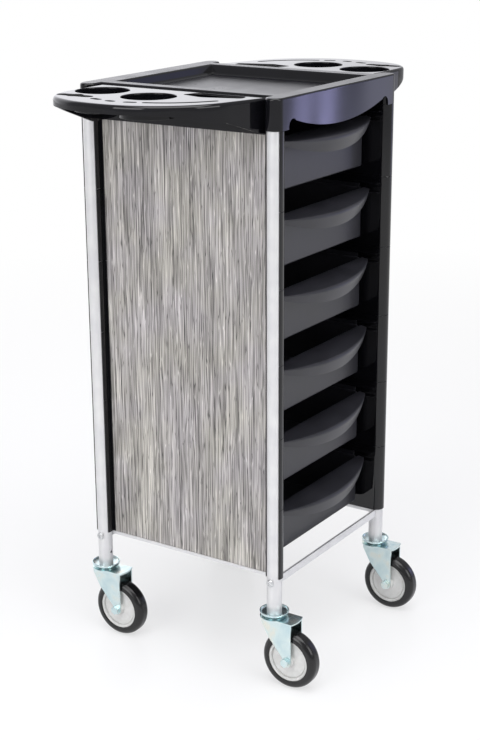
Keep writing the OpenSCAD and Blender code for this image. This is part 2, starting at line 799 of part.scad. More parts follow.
module tyre(sx, sy) {
    color(tyre_black) at_wheel(sx, sy) rotate_extrude($fn = 96) intersection() {
        translate([rim_r, -wheel_w / 2]) square([tyre_t, wheel_w]);
        rounded_square(rim_r - 2 * tyre_round, wheel_r, -wheel_w / 2, wheel_w / 2, tyre_round);
    }
}

for (corner = CORNERS) {
    post(corner[1], corner[2]);
    caster_stem(corner[1], corner[2]);
    caster_fork(corner[1], corner[2]);
    caster_axle(corner[1], corner[2]);
    wheel_hub(corner[1], corner[2]);
    tyre(corner[1], corner[2]);
}
cross_bar(-1);  // front_bar
cross_bar(1);  // rear_bar
bar_screws();
for (side = ["left", "right"]) {
    side_rail(side);
    side_panel(side);
    wing(side);
    for (level = [1 : drawer_count])
        side_module(side, level);
}
for (level = [1 : drawer_count])
    drawer(level);
top_tray();
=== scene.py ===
import math

import bmesh
import bpy
from mathutils import Matrix, Vector


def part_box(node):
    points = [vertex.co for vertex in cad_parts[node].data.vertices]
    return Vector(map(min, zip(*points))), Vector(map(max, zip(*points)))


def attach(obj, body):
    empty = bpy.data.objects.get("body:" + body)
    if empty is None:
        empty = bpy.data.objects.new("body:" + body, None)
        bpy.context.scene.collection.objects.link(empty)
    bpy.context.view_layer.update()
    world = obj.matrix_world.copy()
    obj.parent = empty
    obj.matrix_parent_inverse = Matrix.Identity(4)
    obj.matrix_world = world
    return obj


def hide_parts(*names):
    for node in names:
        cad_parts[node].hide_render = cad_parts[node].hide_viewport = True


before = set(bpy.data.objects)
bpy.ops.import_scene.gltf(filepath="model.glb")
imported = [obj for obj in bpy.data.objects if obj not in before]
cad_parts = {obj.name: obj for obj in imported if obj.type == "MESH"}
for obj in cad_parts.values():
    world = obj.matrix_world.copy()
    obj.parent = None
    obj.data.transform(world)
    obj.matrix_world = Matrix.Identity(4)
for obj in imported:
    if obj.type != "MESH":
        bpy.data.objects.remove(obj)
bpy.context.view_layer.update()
bpy.ops.object.select_all(action="DESELECT")


# Posts: four lengths of drawn steel tube, 25 mm across, with a satin silver coat.
# They stand in the caster dishes and run up into the tray; a small hole is drilled low in each.
MM = 0.001
CORNERS = ["front_left", "front_right", "rear_left", "rear_right"]


def linear(code):
    """Linear colour, with alpha, of an sRGB hex value."""
    parts = [int(code[i:i + 2], 16) / 255 for i in (1, 3, 5)]
    return [c / 12.92 if c <= 0.04045 else ((c + 0.055) / 1.055) ** 2.4 for c in parts] + [1.0]


def finish(name):
    """A new material and its shader."""
    material = bpy.data.materials.new(name)
    material.use_nodes = True
    return material, material.node_tree.nodes["Principled BSDF"]


def add(tree, kind, settings, links=None):
    """Adds a node with its settings, ramp stops and links, and returns it."""
    made = tree.nodes.new("ShaderNode" + kind)
    for key, value in settings.items():
        if key == "stops":
            ramp = made.color_ramp
            while len(ramp.elements) < len(value):
                ramp.elements.new(0.5)
            for element, (place, code) in zip(ramp.elements, value):
                element.position = place
                element.color = linear(code)
        elif isinstance(key, str) and hasattr(made, key):
            setattr(made, key, value)
        else:
            made.inputs[key].default_value = value
    for key, socket in (links or {}).items():
        tree.links.new(socket, made.inputs[key])
    return made


def dress(material, *names):
    """Gives CAD nodes a material."""
    for name in names:
        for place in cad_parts[name].material_slots:
            place.material = material


# Silver coat: fine aluminium flake in a clear binder over steel. It is a cold, even, satin silver; only
# slow changes in the film's thickness, some 30 mm long, move its tone and shine.
silver_coat, shader = finish("silver_coat_on_steel")
tree = silver_coat.node_tree
place = add(tree, "TexCoord", {})
film = add(tree, "TexNoise", {"Scale": 1 / (30 * MM), "Detail": 2.0}, {"Vector": place.outputs["Object"]})
tone = add(tree, "ValToRGB", {"stops": [(0.3, "#d5d5d7"), (0.7, "#e0e0e0")]}, {"Fac": film.outputs["Fac"]})
gloss = add(tree, "MapRange", {"To Min": 0.3, "To Max": 0.38}, {"Value": film.outputs["Fac"]})
tree.links.new(tone.outputs["Color"], shader.inputs["Base Color"])
tree.links.new(gloss.outputs["Result"], shader.inputs["Roughness"])
shader.inputs["Metallic"].default_value = 0.55
dress(silver_coat, *["post_" + corner for corner in CORNERS])


# Bars and rails: pressed steel channels with the posts' silver coat. The front and rear bars tie the
# posts together under the drawers, and the side rails carry the modules and the side panels.
def take(*pieces):
    """Selects only these pieces and makes the first one active."""
    bpy.ops.object.select_all(action="DESELECT")
    for piece in pieces:
        piece.select_set(True)
    bpy.context.view_layer.objects.active = pieces[0]


def fit_copy(node, name):
    """A clean mesh with the shape of a CAD node."""
    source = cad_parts[node]
    made = bpy.data.objects.new(name, source.data.copy())
    bpy.context.scene.collection.objects.link(made)
    take(made)
    bpy.ops.mesh.customdata_custom_splitnormals_clear()
    bpy.ops.object.mode_set(mode="EDIT")
    bpy.ops.mesh.select_all(action="SELECT")
    bpy.ops.mesh.remove_doubles(threshold=0.02 * MM)
    bpy.ops.mesh.dissolve_limited(angle_limit=math.radians(0.4))
    bpy.ops.object.mode_set(mode="OBJECT")
    return made


def soften(made, width, segments=2, angle=35):
    """Rounds the sharp edges of a piece and smooths what is left."""
    take(made)
    edges = made.modifiers.new("soft edges", "BEVEL")
    edges.width = width * MM
    edges.segments = segments
    edges.limit_method = "ANGLE"
    edges.angle_limit = math.radians(angle)
    edges.miter_outer = "MITER_ARC"
    bpy.ops.object.modifier_apply(modifier=edges.name)
    bpy.ops.object.shade_smooth_by_angle(angle=math.radians(32))
    even = made.modifiers.new("even shading", "WEIGHTED_NORMAL")
    even.keep_sharp = True
    bpy.ops.object.modifier_apply(modifier=even.name)
    split = made.modifiers.new("plain faces", "TRIANGULATE")
    split.min_vertices = 5
    split.keep_custom_normals = True
    bpy.ops.object.modifier_apply(modifier=split.name)


def coat(made, material):
    """Gives a piece one material all over."""
    made.data.materials.clear()
    made.data.materials.append(material)


def put(made, body, slot, *nodes):
    """Puts a finished piece in its body and hides the CAD nodes that it stands for; its finish, slot, is not
    used.
    """
    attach(made, body)
    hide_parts(*nodes)


for node in ("front_bar", "rear_bar", "side_rail_left", "side_rail_right"):
    channel = fit_copy(node, node + "_pressing")
    soften(channel, 0.7)
    coat(channel, silver_coat)
    put(channel, "frame", "silver_coat", node)


# Bar screws: zinc-plated pan-head screws with a cross recess, one low on the outside of each post,
# running through the tube into the folded end of a bar.
# Zinc plate on a small screw is a pale, slightly dull metal with a mottle of 1 to 2 mm.
screw_steel, shader = finish("zinc_plated_screw_steel")
tree = screw_steel.node_tree
place = add(tree, "TexCoord", {})
mottle = add(
    tree, "TexNoise", {"Scale": 1 / (1.5 * MM), "Detail": 2.0}, {"Vector": place.outputs["Object"]})
zinc_greys = [(0.3, "#c3c5c7"), (0.7, "#dfe0e0")]
tone = add(tree, "ValToRGB", {"stops": zinc_greys}, {"Fac": mottle.outputs["Fac"]})
tree.links.new(tone.outputs["Color"], shader.inputs["Base Color"])
shader.inputs["Metallic"].default_value = 1.0
shader.inputs["Roughness"].default_value = 0.28


def edit(made):
    """Enters edit mode on one piece with nothing selected."""
    take(made)
    bpy.ops.object.mode_set(mode="EDIT")
    bpy.ops.mesh.select_all(action="DESELECT")


def pick(made, kind, test):
    """In edit mode, selects the verts, edges or faces that pass a test."""
    bpy.ops.mesh.select_mode(type={"verts": "VERT", "edges": "EDGE", "faces": "FACE"}[kind])
    bpy.ops.mesh.select_all(action="DESELECT")
    shape = bmesh.from_edit_mesh(made.data)
    for item in getattr(shape, kind):
        if test(item):
            item.select_set(True)
    bmesh.update_edit_mesh(made.data)


def middle(edge):
    """Middle point of an edge."""
    return (edge.verts[0].co + edge.verts[1].co) / 2


def cut(made, tool, operation="DIFFERENCE"):
    """Cuts a piece with another one, which is used up."""
    take(made)
    knife = made.modifiers.new("cut", "BOOLEAN")
    knife.operation = operation
    knife.solver = "EXACT"
    knife.object = tool
    bpy.ops.object.modifier_apply(modifier=knife.name)
    bpy.data.objects.remove(tool)


def joined(name, pieces):
    """Joins pieces into one and names it."""
    take(*pieces)
    if len(pieces) > 1:
        bpy.ops.object.join()
    pieces[0].name = name
    return pieces[0]


def moved_copy(made, name, matrix):
    """A copy of a piece with its own mesh, moved by a matrix."""
    copy = bpy.data.objects.new(name, made.data.copy())
    bpy.context.scene.collection.objects.link(copy)
    copy.data.transform(matrix)
    return copy


head_r, head_h, head_dome = 6.5 * MM, 3.5 * MM, 2.6 * MM
recess_length, recess_width, recess_height = 7.2 * MM, 1.5 * MM, 3.2 * MM
screw_z = 181.5 * MM
bpy.ops.mesh.primitive_cylinder_add(vertices=40, radius=head_r, depth=head_h, location=(0, 0, head_h / 2))
head = bpy.context.active_object
bpy.ops.object.transform_apply(location=True, rotation=True, scale=True)
edit(head)
pick(head, "edges", lambda e: middle(e).z > head_h - 0.1 * MM)
bpy.ops.mesh.bevel(offset=head_dome, segments=5, profile=0.5)
bpy.ops.object.mode_set(mode="OBJECT")
for turn in (0, 90):
    way = (0, 0, math.radians(turn))
    bpy.ops.mesh.primitive_cube_add(size=1, location=(0, 0, head_h - 0.2 * MM), rotation=way)
    blade = bpy.context.active_object
    blade.scale = (recess_length, recess_width, recess_height)
    bpy.ops.object.transform_apply(location=True, rotation=True, scale=True)
    cut(head, blade)
take(head)
bpy.ops.object.shade_smooth_by_angle(angle=math.radians(35))
screws = []
for corner in CORNERS:
    low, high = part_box("post_" + corner)
    side = -1 if corner.endswith("left") else 1
    seat = Vector((high.x if side > 0 else low.x, (low.y + high.y) / 2, screw_z))
    outwards = Matrix.Rotation(math.radians(90 * side), 4, "Y")
    driven = Matrix.Rotation(math.radians(20 * side), 4, "Z")
    screws.append(moved_copy(head, "screw", Matrix.Translation(seat) @ outwards @ driven))
bpy.data.objects.remove(head)
screws = joined("pan_head_screws", screws)
coat(screws, screw_steel)
put(screws, "frame", "screw_steel", "bar_screws")


# Side modules: injection-moulded black ABS, six stacked on each side. Each has two sleeves that clip
# round the posts, open to the outside, a plate between them, and two ledges for its drawer. The skin is
# a near-mirror, dulled in patches by faint flow marks; its grain is drawn coarse, at 1.2 mm, to show.
black_abs, shader = finish("moulded_black_abs")
tree = black_abs.node_tree
place = add(tree, "TexCoord", {})
haze = add(tree, "TexNoise", {"Scale": 1 / (60 * MM), "Detail": 4.0}, {"Vector": place.outputs["Object"]})
grain = add(tree, "TexNoise", {"Scale": 1 / (1.2 * MM), "Detail": 2.0}, {"Vector": place.outputs["Object"]})
tone = add(tree, "ValToRGB", {"stops": [(0.3, "#08080a"), (0.7, "#0e0e12")]}, {"Fac": haze.outputs["Fac"]})
gloss = add(tree, "MapRange", {"To Min": 0.03, "To Max": 0.09}, {"Value": haze.outputs["Fac"]})
bump = add(tree, "Bump", {"Strength": 0.03, "Distance": 0.1 * MM}, {"Height": grain.outputs["Fac"]})
tree.links.new(tone.outputs["Color"], shader.inputs["Base Color"])
tree.links.new(gloss.outputs["Result"], shader.inputs["Roughness"])
tree.links.new(bump.outputs["Normal"], shader.inputs["Normal"])
shader.inputs["IOR"].default_value = 1.46
for side in ("left", "right"):
    for level in range(1, 7):
        node = "side_module_%s_%d" % (side, level)
        module = fit_copy(node, node + "_moulding")
        soften(module, 0.6)
        coat(module, black_abs)
        put(module, "frame", "black_abs", node)


# Side panels: thin board with a grey bark-pattern laminate, held in the modules' grooves and standing
# in the side rails. The print is made of upright fibres 1 to 2 mm wide and 60 to 130 mm long, with thin
# dark cracks and thin light ridges among them, and it drifts from a lilac to a warm grey.
bark, shader = finish("grey_bark_laminate")
tree = bark.node_tree
place = add(tree, "TexCoord", {})
sway = add(tree, "TexNoise", {"Scale": 1 / (80 * MM), "Detail": 2.0}, {"Vector": place.outputs["Object"]})
centred = add(tree, "VectorMath", {"operation": "SUBTRACT", 1: (0.5, 0.5, 0.5)}, {0: sway.outputs["Color"]})
push = add(tree, "VectorMath", {"operation": "SCALE", "Scale": 2.5 * MM}, {0: centred.outputs["Vector"]})
bent = add(
    tree, "VectorMath", {"operation": "ADD"}, {0: place.outputs["Object"], 1: push.outputs["Vector"]})
strand_sizes = [(2.0, 130, 2.0), (1.1, 60, 2.0), (20, 300, 1.0), (4.0, 110, 1.0), (4.8, 140, 1.0)]
strands = []
for width, length, detail in strand_sizes:
    scale = (1 / (length * MM), 1 / (width * MM), 1 / (length * MM))
    apart = (0, 7 * len(strands), 0)
    spread = add(tree, "Mapping", {"Scale": scale, "Location": apart}, {"Vector": bent.outputs["Vector"]})
    strand = {"Scale": 1.0, "Detail": detail}
    strands.append(add(tree, "TexNoise", strand, {"Vector": spread.outputs["Vector"]}))
wide_fibre, fine_fibre, slow_change, crack_line, ridge_line = strands
fine = add(tree, "Math", {"operation": "MULTIPLY", 1: 0.75}, {0: fine_fibre.outputs["Fac"]})
both = add(tree, "Math", {"operation": "ADD"}, {0: wide_fibre.outputs["Fac"], 1: fine.outputs["Value"]})
broad = add(tree, "Math", {"operation": "MULTIPLY", 1: 0.2}, {0: slow_change.outputs["Fac"]})
total = add(tree, "Math", {"operation": "ADD"}, {0: both.outputs["Value"], 1: broad.outputs["Value"]})
thin_line = [(0.475, "#000000"), (0.5, "#ffffff"), (0.525, "#000000")]
crack = add(tree, "ValToRGB", {"stops": thin_line}, {"Fac": crack_line.outputs["Fac"]})
depth = add(tree, "Math", {"operation": "MULTIPLY", 1: 0.3}, {0: crack.outputs["Color"]})
carved = add(
    tree, "Math", {"operation": "SUBTRACT"}, {0: total.outputs["Value"], 1: depth.outputs["Value"]})
ridge = add(tree, "ValToRGB", {"stops": thin_line}, {"Fac": ridge_line.outputs["Fac"]})
rise = add(tree, "Math", {"operation": "MULTIPLY", 1: 0.22}, {0: ridge.outputs["Color"]})
ridged = add(tree, "Math", {"operation": "ADD"}, {0: carved.outputs["Value"], 1: rise.outputs["Value"]})
level = add(tree, "MapRange", {"From Min": 0.66, "From Max": 1.27}, {"Value": ridged.outputs["Value"]})
bark_greys = [
    (0.0, "#42403e"), (0.25, "#747270"), (0.45, "#979592"),
    (0.65, "#aeaca8"), (0.85, "#c8c6c2"), (1.0, "#dcdad6")]
tone = add(tree, "ValToRGB", {"stops": bark_greys}, {"Fac": level.outputs["Result"]})
tints = [(0.35, "#fdfaff"), (0.65, "#fffdf8")]
tint = add(tree, "ValToRGB", {"stops": tints}, {"Fac": sway.outputs["Fac"]})
print_colour = add(
    tree, "Mix", {"data_type": "RGBA", "blend_type": "MULTIPLY", 0: 1.0},
    {6: tone.outputs["Color"], 7: tint.outputs["Color"]})
bump = add(tree, "Bump", {"Strength": 0.25, "Distance": 0.3 * MM}, {"Height": level.outputs["Result"]})
tree.links.new(print_colour.outputs[2], shader.inputs["Base Color"])
tree.links.new(bump.outputs["Normal"], shader.inputs["Normal"])
shader.inputs["Roughness"].default_value = 0.42
dress(bark, "side_panel_left", "side_panel_right")


# Drawers: six charcoal mouldings with thin walls, upright round corners, runners along the sides and
# a hollow crescent pull bowed out of the front. They hang on the modules' ledges and slide out.
# Satin polypropylene is dark with a broad soft shine; its spark texture is drawn coarse, at 1.4 mm, to show.
drawer_plastic, shader = finish("satin_charcoal_polypropylene")
tree = drawer_plastic.node_tree
place = add(tree, "TexCoord", {})
haze = add(tree, "TexNoise", {"Scale": 1 / (45 * MM), "Detail": 3.0}, {"Vector": place.outputs["Object"]})
grain = add(tree, "TexNoise", {"Scale": 1 / (1.4 * MM), "Detail": 2.0}, {"Vector": place.outputs["Object"]})
tone = add(tree, "ValToRGB", {"stops": [(0.3, "#232328"), (0.7, "#2d2d33")]}, {"Fac": haze.outputs["Fac"]})
gloss = add(tree, "MapRange", {"To Min": 0.3, "To Max": 0.42}, {"Value": haze.outputs["Fac"]})
bump = add(tree, "Bump", {"Strength": 0.05, "Distance": 0.1 * MM}, {"Height": grain.outputs["Fac"]})
tree.links.new(tone.outputs["Color"], shader.inputs["Base Color"])
tree.links.new(gloss.outputs["Result"], shader.inputs["Roughness"])
tree.links.new(bump.outputs["Normal"], shader.inputs["Normal"])
shader.inputs["IOR"].default_value = 1.5

wall = 2.5 * MM
half = 150 * MM
front, back = -120.5 * MM, 187.5 * MM
floor_z, top_z = 18 * MM, 102 * MM
corner_r, foot_r = 12 * MM, 3 * MM


def block(low, high):
    """A box piece given by its low and high corners."""
    low, high = Vector(low), Vector(high)
    bpy.ops.mesh.primitive_cube_add(size=1, location=(low + high) / 2)
    made = bpy.context.active_object
    made.scale = high - low
    bpy.ops.object.transform_apply(location=True, rotation=True, scale=True)
    return made


def thicken(made, thickness):
    """Gives a skin its wall, inwards."""
    take(made)
    skin = made.modifiers.new("wall", "SOLIDIFY")
    skin.thickness = thickness
    skin.offset = -1
    skin.use_even_offset = True
    bpy.ops.object.modifier_apply(modifier=skin.name)


bin_shell = block((-half, front, floor_z), (half, back, top_z))
edit(bin_shell)
pick(bin_shell, "edges", lambda e: abs(e.verts[0].co.z - e.verts[1].co.z) > 1 * MM)
bpy.ops.mesh.bevel(offset=corner_r, segments=8, profile=0.5)
pick(bin_shell, "edges", lambda e: middle(e).z < floor_z + 0.1 * MM)
bpy.ops.mesh.bevel(offset=foot_r, segments=3, profile=0.5)
pick(bin_shell, "faces", lambda f: f.normal.z > 0.9)
bpy.ops.mesh.delete(type="FACE")
bpy.ops.object.mode_set(mode="OBJECT")
thicken(bin_shell, wall)
soften(bin_shell, 0.6, 2, 50)

pull_half, pull_r, pull_h, lean = 151.7 * MM, 314.5 * MM, 32 * MM, 9 * MM
pull_reach, slope = 50 * MM, 7 / 50
smile_r, crest = 425 * MM, 7 * MM
pull_y = front - pull_reach + pull_r
bpy.ops.mesh.primitive_cone_add(
    vertices=720, radius1=pull_r - lean, radius2=pull_r, depth=pull_h,
    location=(0, pull_y, top_z - pull_h / 2))
pull = bpy.context.active_object
bpy.ops.object.transform_apply(location=True, rotation=True, scale=True)
edit(pull)
back_plane = ((0, front + 0.8 * MM, 0), (0, 1, 0))
right_plane = ((pull_half, 0, 0), (1, 0, 0))
left_plane = ((-pull_half, 0, 0), (-1, 0, 0))
top_plane = ((0, front, top_z), (0, -slope, 1))
for point, normal in (back_plane, right_plane, left_plane, top_plane):
    bpy.ops.mesh.select_all(action="SELECT")
    bpy.ops.mesh.bisect(plane_co=point, plane_no=normal, use_fill=True, clear_outer=True)
bpy.ops.object.mode_set(mode="OBJECT")
bpy.ops.mesh.primitive_cylinder_add(
    vertices=512, radius=smile_r, depth=300 * MM, location=(0, front, top_z - pull_h + smile_r),
    rotation=(math.radians(90), 0, 0))
smile = bpy.context.active_object
bpy.ops.object.transform_apply(location=True, rotation=True, scale=True)
cut(pull, smile, "INTERSECT")
edit(pull)
pick(pull, "faces", lambda f: f.normal.z < -0.45 or f.normal.y > 0.8)
bpy.ops.mesh.delete(type="FACE")
bpy.ops.mesh.select_all(action="SELECT")
bpy.ops.mesh.remove_doubles(threshold=0.02 * MM)
pick(pull, "edges", lambda e: len(e.link_faces) == 2 and e.calc_face_angle() > math.radians(40))
bpy.ops.object.mode_set(mode="OBJECT")
weights = pull.data.attributes.new("bevel_weight_edge", "FLOAT", "EDGE")
for edge in pull.data.edges:
    if edge.select:
        x = sum(pull.data.vertices[i].co.x for i in edge.vertices) / 2
        weights.data[edge.index].value = max(0.17, 1 - (x / pull_half) ** 2)
take(pull)
brow = pull.modifiers.new("brow", "BEVEL")
brow.width = crest
brow.segments = 7
brow.limit_method = "WEIGHT"
brow.use_clamp_overlap = False
bpy.ops.object.modifier_apply(modifier=brow.name)
thicken(pull, wall)
take(pull)
bpy.ops.object.shade_smooth_by_angle(angle=math.radians(32))

runner_z, runner_top, hook_h = 95.8 * MM, 98.3 * MM, 9.9 * MM
runners = []
for side in (-1, 1):
    inner, foot, outer = 147.5 * MM * side, 155.1 * MM * side, 157.6 * MM * side
    low = (min(inner, outer), front + corner_r, runner_z)
    runner = block(low, (max(inner, outer), back, runner_top))
    edit(runner)
    bpy.ops.mesh.select_all(action="SELECT")
    bpy.ops.mesh.bisect(plane_co=(foot, 0, 0), plane_no=(1, 0, 0))
    pick(runner, "faces", lambda f: f.normal.z > 0.9 and abs(f.calc_center_median().x) > abs(foot))
    bpy.ops.mesh.extrude_region_move(TRANSFORM_OT_translate={"value": (0, 0, hook_h)})
    bpy.ops.object.mode_set(mode="OBJECT")
    soften(runner, 0.4)
    runners.append(runner)
drawer = joined("drawer", [bin_shell, pull] + runners)
coat(drawer, drawer_plastic)
stack_top, storey_h = 917 * MM, 121.5 * MM
for level in range(1, 7):
    storey = stack_top - storey_h * level
    bin_copy = moved_copy(drawer, "drawer_moulding_%d" % level, Matrix.Translation((0, 0, storey)))
    put(bin_copy, "drawer_body_%d" % level, "drawer_plastic", "drawer_%d" % level)
bpy.data.objects.remove(drawer)


# Top tray: one black ABS moulding that caps the four posts, with a sunken floor, sloping walls, round
# corner columns, and front and rear aprons with a smiling lower edge between two notches. Its floor and
# rim are spark-textured, so they are satin; the texture is drawn coarse, at 1.1 mm, to show.
floor_abs, shader = finish("spark_textured_black_abs")
tree = floor_abs.node_tree
place = add(tree, "TexCoord", {})
spark = add(tree, "TexNoise", {"Scale": 1 / (1.1 * MM), "Detail": 2.0}, {"Vector": place.outputs["Object"]})
wear = add(tree, "TexNoise", {"Scale": 1 / (50 * MM), "Detail": 3.0}, {"Vector": place.outputs["Object"]})
tone = add(tree, "ValToRGB", {"stops": [(0.3, "#151519"), (0.7, "#1e1e23")]}, {"Fac": wear.outputs["Fac"]})
gloss = add(tree, "MapRange", {"To Min": 0.22, "To Max": 0.38}, {"Value": wear.outputs["Fac"]})
bump = add(tree, "Bump", {"Strength": 0.12, "Distance": 0.1 * MM}, {"Height": spark.outputs["Fac"]})
tree.links.new(tone.outputs["Color"], shader.inputs["Base Color"])
tree.links.new(gloss.outputs["Result"], shader.inputs["Roughness"])
tree.links.new(bump.outputs["Normal"], shader.inputs["Normal"])
shader.inputs["IOR"].default_value = 1.46
rim_z, floor_z = 966 * MM, 949 * MM
rim_round, floor_round = 3.2 * MM, 5 * MM


def sharp_at(edge, height):
    """Whether an edge is a sharp one at this height."""
    return abs(middle(edge).z - height) < 0.1 * MM and edge.calc_face_angle(0) > math.radians(40)


tray = fit_copy("top_tray", "tray_moulding")
edit(tray)
pick(tray, "edges", lambda e: sharp_at(e, rim_z))
bpy.ops.mesh.bevel(offset=rim_round, segments=5, profile=0.5, clamp_overlap=True)
pick(tray, "edges", lambda e: sharp_at(e, floor_z))
bpy.ops.mesh.bevel(offset=floor_round, segments=5, profile=0.5)
bpy.ops.object.mode_set(mode="OBJECT")
soften(tray, 0.8, 2)
coat(tray, black_abs)
tray.data.materials.append(floor_abs)
for face in tray.data.polygons:
    level = min((floor_z, rim_z), key=lambda z: abs(face.center.z - z))
    if abs(face.center.z - level) < 0.1 * MM and face.normal.z > 0.99:
        face.material_index = 1
put(tray, "frame", "black_abs", "top_tray")


# Wings: two like mouldings in black ABS that plug into the tray's sides, one turned half round. Each is
# a thin plate with a rolled edge, a skirt that deepens to both ends, slots for tools and combs, and two
# bottle holes with collars under them. Outlines are in millimetres from the middle of the cart.
wing_z = 963.5 * MM
cart_y = 29.5
plate_t, edge_round, roll_r = 3, 1.2, 5
near_x, flange_x, post_x = 160.3, 165.25, 173
wide, narrow = -154.1, 160.8


def arc(cx, cy, r, start, end, steps):
    """Points of an arc in millimetres."""
    turns = [math.radians(start + (end - start) * i / steps) for i in range(steps + 1)]
    return [(cx + r * math.cos(a), cy + r * math.sin(a)) for a in turns]


def wing_edge(inset):
    """Free edge of the right wing, from its wide end to its narrow end, eased to one curve."""
    run = arc(260, -74.1, 80 - inset, -90, -14, 26)
    run += arc(35, -20, 315 - inset, -11, 9, 28)
    run += arc(196, -10, 154 - inset, 20, 78, 42)
    for _ in range(14):
        run = [run[0]] + [
            tuple((a[k] + 2 * b[k] + c[k]) / 4 for k in (0, 1)) for a, b, c in zip(run, run[1:], run[2:])
        ] + [run[-1]]
    start = [(168 + (260 - 168) * i / 12, wide + inset) for i in range(12)]
    last_x, last_y = run[-1]
    over_x, over_y = near_x + inset - last_x, narrow - inset - last_y
    end = [(last_x + over_x * i / 8, last_y + over_y * i / 8) for i in range(1, 9)]
    return [(near_x + inset, wide + inset)] + start + run + end


def plate_edge(inset):
    """Outline of the wing's flat top, drawn in from the free edge and straight beside the tray."""
    run = wing_edge(inset)
    beside = near_x + edge_round
    return [(beside, run[0][1])] + run[1:-1] + [(beside, run[-1][1])]


def stadium(a, b, width):
    """Outline of a slot with round ends between two points."""
    heading = math.degrees(math.atan2(b[1] - a[1], b[0] - a[0]))
    r = width / 2 + edge_round
    far_end = arc(b[0], b[1], r, heading - 90, heading + 90, 12)
    return far_end + arc(a[0], a[1], r, heading + 90, heading + 270, 12)


def bend(a, c, b, steps):
    """Points of a curve from a to b that is drawn towards c."""
    parts = [i / steps for i in range(steps + 1)]
    return [tuple(a * (1 - t) ** 2 + c * 2 * t * (1 - t) + b * t * t) for t in parts]


def rounded(corners, r):
    """Outline of a polygon with round corners."""
    points = []
    for before, corner, after in zip(corners[-1:] + corners[:-1], corners, corners[1:] + corners[:1]):
        c = Vector(corner)
        a = c + (Vector(before) - c).normalized() * r
        b = c + (Vector(after) - c).normalized() * r
        points += bend(a, c, b, 5)
    return points


def bow(a, m, b):
    """Points of a curve through three points."""
    m, a, b = Vector(m), Vector(a), Vector(b)
    return bend(a, 2 * m - (a + b) / 2, b, 14)


def plate(name, outlines, z, thickness):
    """A flat plate with rolled edges, from its outline and the outlines of its holes."""
    sheet = bpy.data.curves.new(name, "CURVE")
    sheet.dimensions = "2D"
    sheet.fill_mode = "BOTH"
    sheet.extrude = (thickness / 2 - edge_round) * MM
    sheet.bevel_depth = edge_round * MM
    sheet.bevel_resolution = 3
    for outline in outlines:
        run = sheet.splines.new("POLY")
        run.points.add(len(outline) - 1)
        for point, (x, y) in zip(run.points, outline):
            point.co = (x * MM, (y + cart_y) * MM, 0, 1)
        run.use_cyclic_u = True
    made = bpy.data.objects.new(name, sheet)
    bpy.context.scene.collection.objects.link(made)
    made.location.z = z
    take(made)
    bpy.ops.object.convert(target="MESH")
    bpy.ops.object.transform_apply(location=True, rotation=True, scale=True)
    return bpy.context.active_object


bottle_r = 42.5
bottle_holes = [(post_x + 53, wide + 48), (post_x + 72, wide + 151)]
holes = [arc(x, y, bottle_r + edge_round, 0, 357, 119) for x, y in bottle_holes]
holes.append(rounded([(171, 37.2), (201, 26.4), (213.6, 69.5), (194.8, 131.6), (172.4, 127)], 7))

slot_width = 9
for a, b in (((133, 94), (136, 106)), ((141, 128), (142, 136)), ((139, 160), (136, 171))):
    start = (post_x + a[0], wide + a[1])
    holes.append(stadium(start, (post_x + b[0], wide + b[1]), slot_width))

comb = [(post_x + 130, wide + 188), (post_x + 105, wide + 232), (post_x + 63, wide + 266)]
comb_r = slot_width / 2 + edge_round
left, right = [], []
for i, (x, y) in enumerate(comb):
    ahead = Vector(comb[min(i + 1, 2)]) - Vector(comb[max(i - 1, 0)])
    across = Vector((-ahead.y, ahead.x)).normalized() * comb_r
    left.append((x + across.x, y + across.y))
    right.append((x - across.x, y - across.y))
headings = [math.degrees(math.atan2(b[1] - a[1], b[0] - a[0])) for a, b in zip(comb, comb[1:])]
tip = arc(*comb[2], comb_r, headings[1] - 80, headings[1] + 80, 10)
tail = arc(*comb[0], comb_r, headings[0] + 100, headings[0] + 260, 10)
holes.append(bow(*right) + tip + bow(*left[::-1]) + tail)

key_x, key_r, key_end = 292, 12 + edge_round, 8 + edge_round
holes.append(
    arc(key_x, wide + 72, key_end, 0, 180, 14)
    + arc(key_x - 3, wide + 46, key_r, 180 - 50, 180 + 50, 14)
    + arc(key_x, wide + 22, key_end, 180, 360, 14)
    + arc(key_x, wide + 46, key_r * 0.92, -38, 38, 14))
plate_z = wing_z - plate_t / 2 * MM
top_plate = plate("wing_plate", [plate_edge(roll_r)] + holes, plate_z, plate_t)

edge = wing_edge(0)
wide_drop, end_x, end_drop, tongue_drop = 55.5, 167.1, 52, 46


def skirt_drop(x, y):
    """Height of the skirt under a point of the wing's edge: shallow outside, deep at both ends."""
    drop = 14 + 14 * min(1, max(0, (y - 80.4) / 54.4)) + 24 * min(1, max(0, (y - 134.8) / 20))
    if y < -74.1 and flange_x <= x < 307:
        drop = max(drop, wide_drop - 41.5 * max(0, (x - 196) / 111))
    return drop


turns = [math.radians(turn) for turn in (0, 18, 36, 54, 72, 90)]
insets = [roll_r * (1 - math.sin(turn)) for turn in turns]
falls = [roll_r * (1 - math.cos(turn)) for turn in turns]
inner_edges = [wing_edge(inset) for inset in insets]
runs = [([(flange_x, edge[0][1] + inset) for inset in insets], wide_drop)]
for i, (x, y) in enumerate(edge):
    if x >= end_x:
        runs.append(([inner[i] for inner in inner_edges], skirt_drop(x, y)))
for x, drop in ((end_x, end_drop), (end_x, tongue_drop), (near_x, tongue_drop)):
    runs.append(([(x, edge[-1][1] - inset) for inset in insets], drop))
rows = []
for steps, drop in runs:
    row = [(x, y, fall) for (x, y), fall in zip(steps, falls)]
    row += [steps[-1] + (roll_r + (drop - roll_r) * part,) for part in (0.5, 1)]
    rows.append([(x * MM, (y + cart_y) * MM, wing_z - down * MM) for x, y, down in row])
points = [point for row in rows for point in row]
count = len(rows[0])
quads = []
for i in range(len(rows) - 1):
    for k in range(count - 1):
        first, second = count * i + k, count * (i + 1) + k
        quads.append((first, first + 1, second + 1, second))
